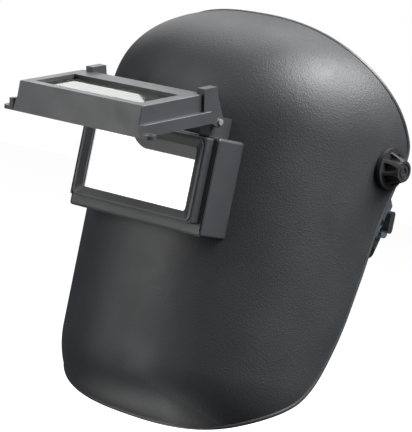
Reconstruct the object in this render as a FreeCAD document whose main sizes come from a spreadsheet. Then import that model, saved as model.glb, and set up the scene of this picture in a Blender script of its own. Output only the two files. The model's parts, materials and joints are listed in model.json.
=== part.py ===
"""Flip-front welding helmet with ratchet headgear.

Frame: millimetres, +Z up, the wearer faces -Y, the wearer's left is +X.
The origin is the centre of the headband, where the head holds the helmet.
Three local frames are used: the helmet frame, the lid frame (origin on the lid
hinge, drawn closed) and the band frame (headband plane level, then tilted).
"""
import FreeCAD, Part
import math
import os
import re

import Sketcher

V = FreeCAD.Vector
X_AXIS = V(1, 0, 0)
Y_AXIS = V(0, 1, 0)
Z_AXIS = V(0, 0, 1)
ORIGIN = V(0, 0, 0)

doc = FreeCAD.newDocument("helmet")
sheet = doc.addObject("Spreadsheet::Sheet", "Sizes")

SIZES = {
    # shell
    "shell_half_width": 120.2,
    "shell_depth": 138.6,
    "shell_centre_y": -6.4,
    "shell_power": 2.45,
    "shell_wall": 2.6,
    "dome_base_z": 46.4,
    "dome_rise": 86.4,
    "skirt_low_z": -187.5,
    "chin_round": 56.7,
    "chin_recess": 51.9,
    "pivot_y": -30.0,
    "pivot_z": 34.8,
    # window assembly
    "bezel_front_y": -165.0,
    "bezel_depth": 7.0,
    "bezel_width": 120.0,
    "bezel_low_z": -30.0,
    "bezel_high_z": 31.0,
    "lens_width": 108.0,
    "lens_height": 50.8,
    "lens_thick": 2.0,
    "ledge_depth": 3.4,
    "aperture_width": 101.6,
    "aperture_height": 45.4,
    "aperture_round": 2.5,
    "housing_half_width": 65.3,
    "housing_low_z": -38.2,
    "housing_high_z": 32.3,
    "housing_wall": 2.5,
    "front_plate": 3.0,
    "neck_wall": 2.7,
    "neck_reach": 29.0,
    "lens_slack": 0.3,
    "screw_spread": 60.1,
    "screw_height": 18.0,
    # lid
    "hinge_y": -157.85,
    "hinge_z": 43.5,
    "pin_radius": 1.6,
    "lid_open": 74.6,
    "lid_front": 21.6,
    "lid_rim": 0.45,
    "lid_step": 9.2,
    "lid_face_half": 59.8,
    "lid_rim_half": 63.5,
    "lid_face_top": 13.7,
    "lid_face_bottom": 76.6,
    "lid_rim_top": 10.0,
    "lid_rim_bottom": 81.7,
    "lid_glass_drop": 50.2,
    "lid_aperture_width": 102.0,
    "lid_aperture_height": 38.6,
    "lid_face_thick": 2.6,
    "lid_ear_reach": 72.5,
    "lug_width": 7.0,
    "near_lug_x": 55.0,
    "far_lug_x": -53.3,
    "cover_thick": 1.0,
    "shade_thick": 3.0,
    "retainer_thick": 3.5,
    # headgear
    "band_tilt": 21.8,
    "band_half_width": 78.0,
    "band_half_length": 98.0,
    "band_thick": 2.0,
    "band_height": 19.0,
    "brow_height": 30.0,
    "pad_thick": 5.0,
    "crown_rise": 100.0,
    "crown_width": 16.0,
    "crown_offset_y": 4.0,
    "crown_overlap": 1.9,
    "arm_plate_x": 109.5,
    "arm_thick": 3.0,
    "arm_disc_radius": 20.0,
    "bolt_radius": 4.0,
    "knob_face_x": 120.6,
    "knob_flange_radius": 15.4,
    "knob_flange_thick": 2.8,
    "knob_root_radius": 12.6,
    "knob_end_radius": 7.8,
    "knob_length": 13.4,
    "arm_step": 3.5,
    "catch_reach": 111.0,
    # ratchet
    "rack_radius": 60.0,
    "rack_centre_y": 36.0,
    "rack_thick": 1.3,
    "pinion_pitch": 4.5,
    "pinion_teeth": 9,
    "case_half_height": 15.0,
    "ratchet_knob_radius": 18.0,
    "ratchet_knob_length": 13.0,
}

for row, (name, value) in enumerate(SIZES.items(), start=1):
    sheet.set(f"A{row}", name)
    sheet.set(f"B{row}", str(value))
    sheet.setAlias(f"B{row}", name)
doc.recompute()


def size(name):
    """A driving dimension, read from the sheet."""
    return float(sheet.get(name))


def formula(text):
    """Turns the sheet's names inside an expression into references to the sheet."""
    return re.sub(r"[a-z]+(?:_[a-z]+)+", lambda found: "Sizes." + found.group(), str(text))


def bind(thing, **rules):
    """Binds properties to formulas; a double underscore stands for a dot."""
    for name, rule in rules.items():
        thing.setExpression(name.replace("__", "."), formula(rule))
    return thing


# ---------------------------------------------------------------- placements

def helmet_place(thing):
    """Pieces drawn straight in the helmet frame."""
    return thing


def lid_place(thing):
    """Pieces drawn in the lid frame, swung open about the hinge."""
    thing.Placement = FreeCAD.Placement(ORIGIN, FreeCAD.Rotation(X_AXIS, -size("lid_open")))
    return bind(thing, Placement__Base__y="hinge_y", Placement__Base__z="hinge_z",
                Placement__Rotation__Angle="-lid_open")


def band_place(thing):
    """Pieces drawn in the band frame, tilted so that the forehead side is high."""
    thing.Placement = FreeCAD.Placement(ORIGIN, FreeCAD.Rotation(X_AXIS, -size("band_tilt")))
    return bind(thing, Placement__Rotation__Angle="-band_tilt")


def finished(thing, label, place=helmet_place):
    """Marks a sub-part: it gets its own label and the placement of its frame."""
    thing.Label = label
    place(thing)
    sub_parts.append(thing)
    return thing


sub_parts = []


# ------------------------------------------------------- primitives and booleans

def box(name, x, y, z, length, width, height):
    """A block from its low corner; every argument is a formula."""
    return bind(doc.addObject("Part::Box", name), Length=length, Width=width, Height=height,
                Placement__Base__x=x, Placement__Base__y=y, Placement__Base__z=z)


def plate(name, half_width, front_y, depth, low_z, high_z):
    """A block that is centred in X."""
    return box(name, f"-({half_width})", front_y, low_z,
               f"2 * ({half_width})", depth, f"({high_z}) - ({low_z})")


def rod(name, x, y, z, radius, length, along=X_AXIS):
    """A cylinder that starts at a point and runs along an axis."""
    turn = FreeCAD.Rotation(Z_AXIS, along)
    thing = doc.addObject("Part::Cylinder", name)
    thing.Placement = FreeCAD.Placement(ORIGIN, turn)
    return bind(thing, Radius=radius, Height=length, Placement__Base__x=x,
                Placement__Base__y=y, Placement__Base__z=z)


def solid(name, shape):
    """A shape that Part's own functions made."""
    thing = doc.addObject("Part::Feature", name)
    thing.Shape = shape
    return thing


def fused(name, pieces):
    thing = doc.addObject("Part::MultiFuse", name)
    thing.Shapes = pieces
    return thing


def cut(name, base, tools):
    """The base with every tool taken away."""
    thing = doc.addObject("Part::Cut", name)
    thing.Base = base
    thing.Tool = tools[0] if len(tools) == 1 else fused(name + "_tools", tools)
    return thing


def rounded(name, base, radius, chosen):
    """Rounds the base's edges whose middle passes the test."""
    doc.recompute()
    thing = doc.addObject("Part::Fillet", name)
    thing.Base = base
    thing.Edges = [(number, radius, radius) for number, edge in enumerate(base.Shape.Edges, start=1)
                   if chosen(edge.CenterOfMass)]
    return thing


def group(name, pieces):
    """Separate solids that share one node."""
    thing = doc.addObject("Part::Compound", name)
    thing.Links = pieces
    return thing


# ------------------------------------------------------------- sketched bodies

def new_body(name):
    return doc.addObject("PartDesign::Body", name)


def sketch_on(body, role, name, offset="0"):
    """A sketch on one of the body's origin planes, moved along its normal."""
    sketch = body.newObject("Sketcher::SketchObject", name)
    planes = [item for item in body.Origin.OriginFeatures if item.Role == role]
    sketch.AttachmentSupport = [(planes[0], "")]
    sketch.MapMode = "FlatFace"
    sketch.setExpression("AttachmentOffset.Base.z", formula(offset))
    return sketch


def draw_rectangle(sketch, left, right, low, high):
    """A rectangle whose four sides are bound to formulas."""
    first = sketch.GeometryCount
    corners = [V(-1, -1, 0), V(1, -1, 0), V(1, 1, 0), V(-1, 1, 0)]
    for index in range(4):
        sketch.addGeometry(Part.LineSegment(corners[index], corners[(index + 1) % 4]), False)
    for index in range(4):
        after = first + (index + 1) % 4
        sketch.addConstraint(Sketcher.Constraint("Coincident", first + index, 2, after, 1))
    for index, kind in enumerate(["Horizontal", "Vertical", "Horizontal", "Vertical"]):
        sketch.addConstraint(Sketcher.Constraint(kind, first + index))
    places = [("DistanceX", first, 1, left), ("DistanceX", first, 2, right),
              ("DistanceY", first, 1, low), ("DistanceY", first + 2, 1, high)]
    for kind, line, point, rule in places:
        number = sketch.addConstraint(Sketcher.Constraint(kind, -1, 1, line, point, 1.0))
        sketch.setExpression(f"Constraints[{number}]", formula(rule))


def draw_circle(sketch, across, up, radius):
    """A circle whose centre and radius are bound to formulas."""
    line = sketch.addGeometry(Part.Circle(V(across_guess(across), across_guess(up), 0), Z_AXIS, 5.0), False)
    number = sketch.addConstraint(Sketcher.Constraint("Radius", line, 5.0))
    sketch.setExpression(f"Constraints[{number}]", formula(radius))
    for kind, rule in [("DistanceX", across), ("DistanceY", up)]:
        number = sketch.addConstraint(Sketcher.Constraint(kind, -1, 1, line, 3, 1.0))
        sketch.setExpression(f"Constraints[{number}]", formula(rule))


def across_guess(rule):
    """A starting place on the right side of zero for the sketch solver."""
    return -1.0 if str(rule).startswith("-") else 1.0


def padded(body, sketch, length):
    pad = body.newObject("PartDesign::Pad", sketch.Name + "_pad")
    pad.Profile = sketch
    sketch.Visibility = False
    return bind(pad, Length=length)


def window_plate(name, width, height, centre_z, back_y, thickness, hole=None):
    """A flat plate or frame across the window, its back face at back_y."""
    body = new_body(name)
    sketch = sketch_on(body, "XZ_Plane", name + "_outline", f"-({back_y})")
    draw_rectangle(sketch, f"-({width}) / 2", f"({width}) / 2",
                   f"({centre_z}) - ({height}) / 2", f"({centre_z}) + ({height}) / 2")
    if hole:
        hole_width, hole_height = hole
        draw_rectangle(sketch, f"-({hole_width}) / 2", f"({hole_width}) / 2",
                       f"({centre_z}) - ({hole_height}) / 2", f"({centre_z}) + ({hole_height}) / 2")
    padded(body, sketch, thickness)
    return body


# ------------------------------------------------------------------- the shell

def section_grid(inset):
    """Rows of points over the shell, a superellipse section at each height."""
    half_width = size("shell_half_width") - inset
    depth = size("shell_depth") - inset
    rise = size("dome_rise") - inset
    exponent = 2 / size("shell_power")
    base = size("dome_base_z")
    low = size("skirt_low_z")
    chin = size("chin_round")
    skirt_rows = 28
    dome_rows = 20
    turns = 44
    widen_loss = 0.35
    dome_end = math.radians(84)
    rows = []
    for step in range(skirt_rows):
        height = low + (base - low) * step / skirt_rows
        bite = max(0.0, (low + chin - height) / chin)
        recess = size("chin_recess") * (1 - math.sqrt(1 - bite * bite))
        rows.append((height, half_width - widen_loss * recess, depth - recess))
    for step in range(dome_rows + 1):
        angle = dome_end * step / dome_rows
        shrink = math.cos(angle) ** exponent
        rows.append((base + rise * math.sin(angle) ** exponent, half_width * shrink, depth * shrink))
    grid = []
    for height, across, forward in rows:
        points = []
        for step in range(turns + 1):
            angle = math.pi * step / turns
            side = math.copysign(abs(math.cos(angle)) ** exponent, math.cos(angle))
            reach = max(0.0, math.sin(angle)) ** exponent
            points.append(V(across * side, size("shell_centre_y") - forward * reach, height))
        grid.append(points)
    return grid


def shell_block(inset):
    """The solid in front of the shell's mid plane, bounded by one smooth skin."""
    skin = Part.BSplineSurface()
    skin.interpolate(section_grid(inset))
    face = skin.toShape()
    edges = face.Edges
    level = [edge for edge in edges if edge.BoundBox.ZLength < 0.01]
    upright = [edge for edge in edges if edge.BoundBox.ZLength >= 0.01]
    caps = []
    lids = []
    for edge in level:
        first = edge.Vertexes[0].Point
        last = edge.Vertexes[-1].Point
        chord = Part.makeLine(first, last)
        lids.append(chord)
        caps.append(Part.Face(Part.Wire([edge, chord])))
    caps.append(Part.Face(Part.Wire(Part.__sortEdges__(upright + lids))))
    skin_shell = Part.makeShell([face] + caps)
    skin_shell.sewShape()
    block = Part.makeSolid(skin_shell)
    if block.Volume < 0:
        block.reverse()
    return block


def side_profile():
    """Everything in front of the rim line, extruded across the helmet."""
    rim = [V(0, -124, -184), V(0, -117, -177.5), V(0, -101, -165), V(0, -68, -141), V(0, -48, -100),
           V(0, -36, -50), V(0, -29, -12), V(0, -20, 17), V(0, -12.5, 38)]
    upper = [V(0, -12.5, 56), V(0, -27, 79), V(0, -58, 115), V(0, -76, 140)]
    lower_curve = Part.BSplineCurve()
    lower_curve.interpolate(rim)
    upper_curve = Part.BSplineCurve()
    upper_curve.interpolate(upper)
    corner = Part.Arc(rim[-1], V(0, -10.6, 47), upper[0])
    front_y = -190
    low = V(0, front_y, rim[0].z)
    high = V(0, front_y, upper[-1].z)
    edges = [lower_curve.toShape(), corner.toShape(), upper_curve.toShape(),
             Part.makeLine(upper[-1], high), Part.makeLine(high, low), Part.makeLine(low, rim[0])]
    reach = size("shell_half_width") + 10
    face = Part.Face(Part.Wire(edges))
    face.translate(V(-reach, 0, 0))
    return face.extrude(V(2 * reach, 0, 0))


outer_block = shell_block(0)
inner_block = shell_block(size("shell_wall"))
profile = side_profile()


def make_shell():
    skin = outer_block.cut(inner_block).common(profile)
    skin_base = solid("shell_skin", skin)
    opening = plate("shell_opening", "lens_width / 2 + neck_wall + lens_slack + 0.6", "bezel_front_y", "60",
                    "-(lens_height / 2 + neck_wall + lens_slack + 0.6)",
                    "lens_height / 2 + neck_wall + lens_slack + 0.6")
    pivot = rod("shell_pivot_hole", "-shell_half_width - 5", "pivot_y", "pivot_z",
                "bolt_radius + 0.08", "2 * shell_half_width + 10")
    holes = screw_rods("shell_screw_hole", "1.7")
    finished(cut("shell_cut", skin_base, [opening, pivot] + holes), "shell")


def screw_rods(name, radius):
    """Four rods along Y at the places of the housing screws."""
    rods = []
    for side in (-1, 1):
        for level in (-1, 1):
            rods.append(rod(f"{name}_{len(rods)}", f"{side} * screw_spread",
                            "bezel_front_y + 24", f"{level} * screw_height",
                            radius, "30", Y_AXIS))
    return rods


# ---------------------------------------------------------- window assembly

def make_window_housing():
    """The box moulded to the shell: walls, neck for the lens, screw bosses and hinge lugs."""
    front = "bezel_front_y + bezel_depth"
    inside = "bezel_front_y + bezel_depth + front_plate"
    wall = "housing_wall"
    block = plate("housing_block", "housing_half_width", front, "36", "housing_low_z", "housing_high_z")
    eased = rounded("housing_eased", block, 2.2, lambda middle: middle.y < size("bezel_front_y") + 30)
    hollow = plate("housing_hollow", f"housing_half_width - {wall}", inside, "40",
                   f"housing_low_z + {wall}", f"housing_high_z - {wall}")
    skirt = cut("housing_skirt", eased, [hollow])
    scribed = cut("housing_scribed", skirt, [solid("housing_scribe", outer_block.copy())])
    neck_half = "lens_width / 2 + lens_slack + neck_wall"
    neck_tall = "lens_height / 2 + lens_slack + neck_wall"
    neck = plate("housing_neck", neck_half, inside, "neck_reach", f"-({neck_tall})", neck_tall)
    bosses = []
    for boss in screw_rods("housing_boss", "2.8"):
        bind(boss, Placement__Base__y=inside, Height="20")
        bosses.append(boss)
    trimmed = cut("housing_bosses", fused("housing_boss_set", bosses),
                  [solid("housing_boss_scribe", outer_block.copy())])
    lugs = []
    for name in ("near_lug_x", "far_lug_x"):
        corner = f"{name} - 9.2"
        lugs.append(box(f"housing_{name}", corner, front, "housing_high_z - 1",
                        "8.7", "22", "hinge_z + 3.6 - housing_high_z + 1"))
        lugs.append(rod(f"housing_nose_{name}", corner, "hinge_y", "hinge_z", "3.6", "8.7"))
    lug_set = cut("housing_lugs", fused("housing_lug_set", lugs),
                  [solid("housing_lug_scribe", outer_block.copy())])
    whole = fused("housing_union", [scribed, neck, trimmed, lug_set])
    tools = [
        plate("housing_pocket", "lens_width / 2 + lens_slack", "bezel_front_y", "60",
              "-(lens_height / 2 + lens_slack)", "lens_height / 2 + lens_slack"),
        rod("housing_pin_hole", "-70", "hinge_y", "hinge_z", "pin_radius", "140"),
    ]
    for side in (-1, 1):
        tools.append(box(f"housing_groove_{side + 1}", f"{side} * 63.6 - 0.45", f"{front} - 1",
                         "housing_low_z + 4", "0.9", "2.8", "housing_high_z - housing_low_z"))
    threads = screw_rods("housing_thread", "1.5")
    for thread in threads:
        bind(thread, Placement__Base__y=f"{inside} + 4")
    finished(cut("housing_cut", whole, tools + threads), "window_housing")


def rounded_outline(half_width, half_height, radius, y):
    """A rectangle with round corners, standing across the helmet at the given Y."""
    block = Part.makeBox(2 * half_width, 1, 2 * half_height, V(-half_width, y, -half_height))
    corners = [edge for edge in block.Edges if edge.BoundBox.YLength > 0.5]
    block = block.makeFillet(radius, corners)
    flat = [face for face in block.Faces if face.BoundBox.YLength < 0.001]
    return min(flat, key=lambda face: face.BoundBox.YMin).OuterWire


def make_window_frame():
    """The raised surround: a sloping inner border, a fine groove and a ledge over the lens."""
    slope_width = 5.2
    slope_depth = 1.9
    groove_in = 7.3
    groove_width = 0.7
    front = size("bezel_front_y")
    wide = size("aperture_width") / 2
    tall = size("aperture_height") / 2
    corner = size("aperture_round")
    block = plate("frame_block", "bezel_width / 2", "bezel_front_y", "bezel_depth",
                  "bezel_low_z", "bezel_high_z")
    eased = rounded("frame_eased", block, 1.3, lambda middle: middle.y < size("bezel_front_y") + 5)
    through = Part.makeLoft([rounded_outline(wide, tall, corner, front - 1),
                             rounded_outline(wide, tall, corner, front + 9)], True)
    slope_rim = rounded_outline(wide + slope_width, tall + slope_width, corner + 1, front - 0.01)
    slope_foot = rounded_outline(wide - 0.1, tall - 0.1, corner, front + slope_depth)
    slope = Part.makeLoft([slope_rim, slope_foot], True)
    groove_walls = []
    for inset in (groove_in + groove_width, groove_in):
        outline = rounded_outline(wide + inset, tall + inset * 0.92, corner + 2, front - 1)
        groove_walls.append(Part.Face(outline).extrude(V(0, 1.9, 0)))
    groove = groove_walls[0].cut(groove_walls[1])
    seat = plate("frame_seat", "lens_width / 2 + lens_slack", "bezel_front_y + ledge_depth", "10",
                 "-(lens_height / 2 + lens_slack)", "lens_height / 2 + lens_slack")
    tools = [solid("frame_through", through), solid("frame_slope", slope),
             solid("frame_groove", groove), seat]
    finished(cut("frame_cut", eased, tools), "window_frame")


def make_lens_stack():
    """Gasket, clear lens and retainer, one behind the other, pushed in from inside the shell."""
    first = "bezel_front_y + ledge_depth"
    hole = ("aperture_width", "aperture_height")
    finished(window_plate("gasket_body", "lens_width", "lens_height", "0",
                          f"{first} + 1", "1", hole), "lens_gasket")
    finished(window_plate("lens_body", "lens_width", "lens_height", "0",
                          f"{first} + 1 + lens_thick", "lens_thick"), "clear_lens")
    finished(window_plate("retainer_body", "lens_width", "lens_height", "0",
                          f"{first} + 1 + lens_thick + 4", "4", hole), "lens_retainer")
    springs = []
    for level in (-1, 1):
        springs.append(box(f"lens_spring_{level + 1}", "-20",
                           f"{first} + 5 + lens_thick", f"{level} * (lens_height / 2 - 1.6) - 1.5",
                           "40", "0.6", "3"))
    finished(group("lens_springs", springs), "retainer_springs")


def make_lock_frame():
    """The ring inside the shell that clamps the housing to it."""
    ring = plate("lock_ring", "lens_width / 2 + neck_wall + lens_slack + 8", "bezel_front_y + 24", "14",
                 "-(lens_height / 2 + neck_wall + lens_slack + 7)",
                 "lens_height / 2 + neck_wall + lens_slack + 7")
    hole = plate("lock_hole", "lens_width / 2 + neck_wall + lens_slack + 0.1", "bezel_front_y + 10", "40",
                 "-(lens_height / 2 + neck_wall + lens_slack + 0.1)",
                 "lens_height / 2 + neck_wall + lens_slack + 0.1")
    frame = cut("lock_cut", ring, [hole] + screw_rods("lock_screw_hole", "1.7"))
    scribed = doc.addObject("Part::Common", "lock_scribed")
    scribed.Base = frame
    scribed.Tool = solid("lock_scribe", inner_block.copy())
    finished(scribed, "lock_frame")
    screws = []
    for side in (-1, 1):
        for level in (-1, 1):
            number = len(screws)
            spot = (f"{side} * screw_spread", f"{level} * screw_height")
            shank = rod(f"screw_shank_{number}", spot[0], "bezel_front_y + 20", spot[1],
                        "1.5", "18.5", Y_AXIS)
            head = rod(f"screw_head_{number}", spot[0], "bezel_front_y + 38", spot[1],
                       "2.9", "2.2", Y_AXIS)
            screws.append(fused(f"screw_{number}", [shank, head]))
    finished(group("screw_group", screws), "housing_screws")


def make_hinge_hardware():
    """A pin and a washer at each lug; both pins point the same way, so the lid slides on."""
    pins = []
    washers = []
    for name in ("near_lug_x", "far_lug_x"):
        shank = rod(f"pin_shank_{name}", f"{name} - 9.2", "hinge_y", "hinge_z",
                    "pin_radius", "lug_width + 9.3")
        head = rod(f"pin_head_{name}", f"{name} + lug_width + 0.1", "hinge_y", "hinge_z", "2.1", "1.1")
        pins.append(fused(f"pin_{name}", [shank, head]))
        disc = rod(f"washer_disc_{name}", f"{name} - 0.45", "hinge_y", "hinge_z", "3.4", "0.4")
        bore = rod(f"washer_bore_{name}", f"{name} - 0.45", "hinge_y", "hinge_z", "pin_radius", "0.4")
        washers.append(cut(f"washer_{name}", disc, [bore]))
    finished(group("pin_group", pins), "hinge_pins")
    finished(group("washer_group", washers), "hinge_washers")


# -------------------------------------------------------------------- the lid

def lug_outline():
    """Side outline of a lid lug: a hook that runs from the lid's face to the pin."""
    nose = 4.3
    rim = size("lid_rim")
    points = [V(0, -25.4, -17.0), V(0, -25.4, -3.4), V(0, -19.5, -2.8), V(0, -3.1, 2.98)]
    tail = [V(0, 3.9, -1.81), V(0, -rim, -9.0), V(0, -rim, -17.0)]
    edges = [Part.makeLine(a, b) for a, b in zip(points, points[1:])]
    edges.append(Part.Arc(points[-1], V(0, nose * 0.7071, nose * 0.7071), tail[0]).toShape())
    edges += [Part.makeLine(a, b) for a, b in zip(tail, tail[1:])]
    edges.append(Part.makeLine(tail[-1], points[0]))
    return Part.Face(Part.Wire(edges))


def lid_prism(half_width, front, top, radius):
    """A block of the lid from the rim to the given front, on the sloping free-end wall."""
    rim = size("lid_rim")
    rim_bottom = size("lid_rim_bottom")
    slope = (size("lid_face_bottom") - rim_bottom) / (size("lid_front") - rim)
    bottom = rim_bottom + slope * (front - rim)
    ring = [V(-half_width, -front, -top), V(-half_width, -front, -bottom),
            V(-half_width, -rim, -rim_bottom), V(-half_width, -rim, -top)]
    block = Part.Face(Part.makePolygon(ring + ring[:1])).extrude(V(2 * half_width, 0, 0))
    outer = [edge for edge in block.Edges if edge.CenterOfMass.y < -rim - 0.1]
    return block.makeFillet(radius, outer)


def lid_ear(side):
    """The thumb tab beside the free end, with its hole."""
    end_radius = 4.0
    thick = 2.8
    rim = size("lid_rim")
    low = -size("lid_rim_bottom")
    root = size("lid_rim_half") - 2
    centre = size("lid_ear_reach") - end_radius
    tab = corner_box((root, -rim - thick, low), (centre, -rim, low + 2 * end_radius))
    middle = V(centre, -rim - thick, low + end_radius)
    tab = tab.fuse(Part.makeCylinder(end_radius, thick, middle, Y_AXIS))
    tab = tab.cut(Part.makeCylinder(1.5, thick, middle, Y_AXIS))
    gusset = corner_box((root, -size("lid_step"), low), (root + 3.2, -rim, low + 3))
    tab = tab.fuse(gusset)
    return tab if side > 0 else tab.mirror(ORIGIN, X_AXIS)


def make_lid():
    face = lid_prism(size("lid_face_half"), size("lid_front"), size("lid_face_top"), 0.8)
    rim = lid_prism(size("lid_rim_half"), size("lid_step"), size("lid_rim_top"), 0.7)
    solids = [solid("lid_face", face), solid("lid_rim_block", rim)]
    for name in ("near_lug_x", "far_lug_x"):
        lug = lug_outline()
        lug.translate(V(size(name), 0, 0))
        solids.append(solid(f"lid_{name}", lug.extrude(V(size("lug_width"), 0, 0))))
    for side in (-1, 1):
        solids.append(solid(f"lid_ear_{side + 1}", lid_ear(side)))
    seat_y = "-lid_front + lid_face_thick"
    cavity_y = f"{seat_y} + cover_thick + shade_thick + retainer_thick"
    cavity_low = "-(lid_face_bottom - 0.5)"
    cavity_high = "-(lid_rim_top + 2.1)"
    tools = [
        plate("lid_cavity", "bezel_width / 2 + 0.7", "-lid_step + 1.5", "30", cavity_low, cavity_high),
        plate("lid_seal_seat", "bezel_width / 2 - 2.6", cavity_y, "30", cavity_low, cavity_high),
        plate("lid_pocket", "lens_width / 2 + lens_slack", seat_y, "30",
              "-lid_glass_drop - lens_height / 2 - lens_slack",
              "-lid_glass_drop + lens_height / 2 + lens_slack"),
        plate("lid_aperture", "lid_aperture_width / 2", "-lid_front - 1", "30",
              "-lid_glass_drop - lid_aperture_height / 2", "-lid_glass_drop + lid_aperture_height / 2"),
        rod("lid_pin_hole", "-70", "0", "0", "pin_radius + 0.06", "140"),
    ]
    finished(cut("lid_cut", fused("lid_union", solids), tools), "lid", lid_place)


def make_lid_stack():
    """Cover glass, dark glass, retainer, clips and the seal of the lid."""
    seat = "-lid_front + lid_face_thick"
    drop = "-lid_glass_drop"
    hole = ("lid_aperture_width", "lid_aperture_height")
    finished(window_plate("cover_body", "lens_width", "lens_height", drop,
                          f"{seat} + cover_thick", "cover_thick"), "lid_cover_glass", lid_place)
    finished(window_plate("shade_body", "lens_width", "lens_height", drop,
                          f"{seat} + cover_thick + shade_thick", "shade_thick"), "shade_glass", lid_place)
    back = f"{seat} + cover_thick + shade_thick + retainer_thick"
    finished(window_plate("lid_retainer_body", "lens_width", "lens_height", drop,
                          back, "retainer_thick", hole), "lid_retainer", lid_place)
    clips = []
    for side in (-1, 1):
        clips.append(box(f"lid_clip_{side + 1}", "49.2" if side > 0 else "-53.2", back,
                         "-lid_glass_drop - 14", "4", "0.6", "28"))
    finished(group("lid_clip_group", clips), "lid_clips", lid_place)
    seal_centre = "-hinge_z"
    finished(window_plate("seal_body", "bezel_width - 6", "60", seal_centre,
                          f"{back} + 4.1", "4.1", ("bezel_width - 13", "54")), "lid_seal", lid_place)


# ---------------------------------------------------------------- the headgear

def oval_ring(inner_gap, thickness, height):
    """An elliptic ring around the head; the gap is measured outward from the band's inside."""
    solids = []
    for gap in (inner_gap + thickness, inner_gap):
        long_half = size("band_half_length") + gap
        wide_half = size("band_half_width") + gap
        low = -height / 2
        ellipse = Part.Ellipse(V(0, long_half, low), V(wide_half, 0, low), V(0, 0, low))
        face = Part.Face(Part.Wire(ellipse.toShape()))
        solids.append(face.extrude(V(0, 0, height)))
    return solids[0].cut(solids[1])


def corner_box(low, high):
    return Part.makeBox(high[0] - low[0], high[1] - low[1], high[2] - low[2], V(*low))


def rivet_spots():
    """Where rivets join the side arms to the band: band frame, left side."""
    return [(28.0, 0.0), (41.0, 0.0)]


def crown_spot():
    """Where a rivet joins each crown strap to the band: band frame."""
    return (4.1, 0.6)


def side_rods(spots, radius, start, length):
    """Rods along X at the given places on both sides."""
    rods = []
    for side in (-1, 1):
        for y, z in spots:
            first = start if side > 0 else -start - length
            rods.append(Part.makeCylinder(radius, length, V(first, y, z), X_AXIS))
    return rods


def make_headband():
    """The forehead strap and the two side straps, moulded in one piece."""
    height = size("band_height")
    thick = size("band_thick")
    strap = oval_ring(0, thick, height)
    brow = oval_ring(0, thick, size("brow_height"))
    brow = brow.common(corner_box((-90, -110, -20), (90, -30, 20)))
    gap_half = 42.0
    strap = strap.cut(corner_box((-gap_half, 40, -20), (gap_half, 120, 20)))
    whole = strap.fuse(brow)
    for tool in side_rods(rivet_spots() + [crown_spot()], 2.0, 60, 40):
        whole = whole.cut(tool)
    finished(solid("headband_shape", whole), "headband", band_place)


def make_sweatband():
    """The soft pad inside the forehead strap."""
    pad = oval_ring(-size("pad_thick") - 0.2, size("pad_thick"), size("brow_height"))
    pad = pad.common(corner_box((-90, -120, -20), (90, -42, 20)))
    finished(solid("sweatband_shape", pad), "sweatband", band_place)


def crown_arc(inner_gap, first, last):
    """A strap over the top of the head between two angles, measured up from +X."""
    rise = size("crown_rise")
    half = size("band_half_width") + size("band_thick") + 0.7
    wide = size("crown_width")
    outline = []
    for gap in (inner_gap, inner_gap + 1.8):
        curve = Part.Ellipse(V(0, 0, rise + gap), V(-half - gap, 0, 0), ORIGIN)
        outline.append(Part.Face(Part.Wire(curve.toShape())).extrude(V(0, wide, 0)))
    ring = outline[1].cut(outline[0])
    reach = 200.0
    points = [ORIGIN]
    for step in range(5):
        angle = math.radians(first + (last - first) * step / 4)
        points.append(V(reach * math.cos(angle), 0, reach * math.sin(angle)))
    wedge = Part.Face(Part.makePolygon(points + [ORIGIN])).extrude(V(0, wide, 0))
    strap = ring.common(wedge)
    strap.translate(V(0, size("crown_offset_y") - wide / 2, 0))
    return strap


def make_crown_straps():
    """Two straps that overlap at the top and snap together with pegs."""
    rise = size("crown_rise")
    middle = size("crown_offset_y")
    left = crown_arc(0, -5, 102)
    right = crown_arc(size("crown_overlap"), 78, 185)
    holes = []
    for place in (-12.0, -4.0, 4.0, 12.0):
        holes.append(Part.makeCylinder(2.1, 16, V(place, middle, rise - 6), Z_AXIS))
    for hole in holes:
        right = right.cut(hole)
    for place in (-4.0, 4.0):
        left = left.fuse(Part.makeCylinder(2.0, 4.6, V(place, middle, rise + 0.9), Z_AXIS))
    tilt = FreeCAD.Rotation(X_AXIS, -size("band_tilt"))
    for tool in side_rods([crown_spot()], 2.0, 60, 40):
        tool.Placement = FreeCAD.Placement(ORIGIN, tilt).multiply(tool.Placement)
        left = left.cut(tool)
        right = right.cut(tool)
    finished(solid("crown_left_shape", left), "crown_strap_left")
    finished(solid("crown_right_shape", right), "crown_strap_right")


def arm_line():
    """The arm's outer side in plan, from the pivot plate to the tail."""
    outer = size("arm_plate_x") + size("arm_thick")
    return [(outer, -58.0), (outer, -14.0), (104.0, 4.0), (82.7, 20.0), (79.0, 34.0), (74.2, 46.0)]


def arm_strip():
    """Plan of a side arm: the pivot plate, the bend inward and the tail on the band."""
    outer = size("arm_plate_x") + size("arm_thick")
    line = arm_line()
    inside = [(outer - 3.0, -58.0), (outer - 3.0, -15.0), (101.6, 2.0), (80.6, 18.0),
              (76.5, 33.5), (72.1, 44.6)]
    ring = [V(x, y, 0) for x, y in line + inside[::-1]]
    return Part.Face(Part.makePolygon(ring + ring[:1]))


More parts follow.
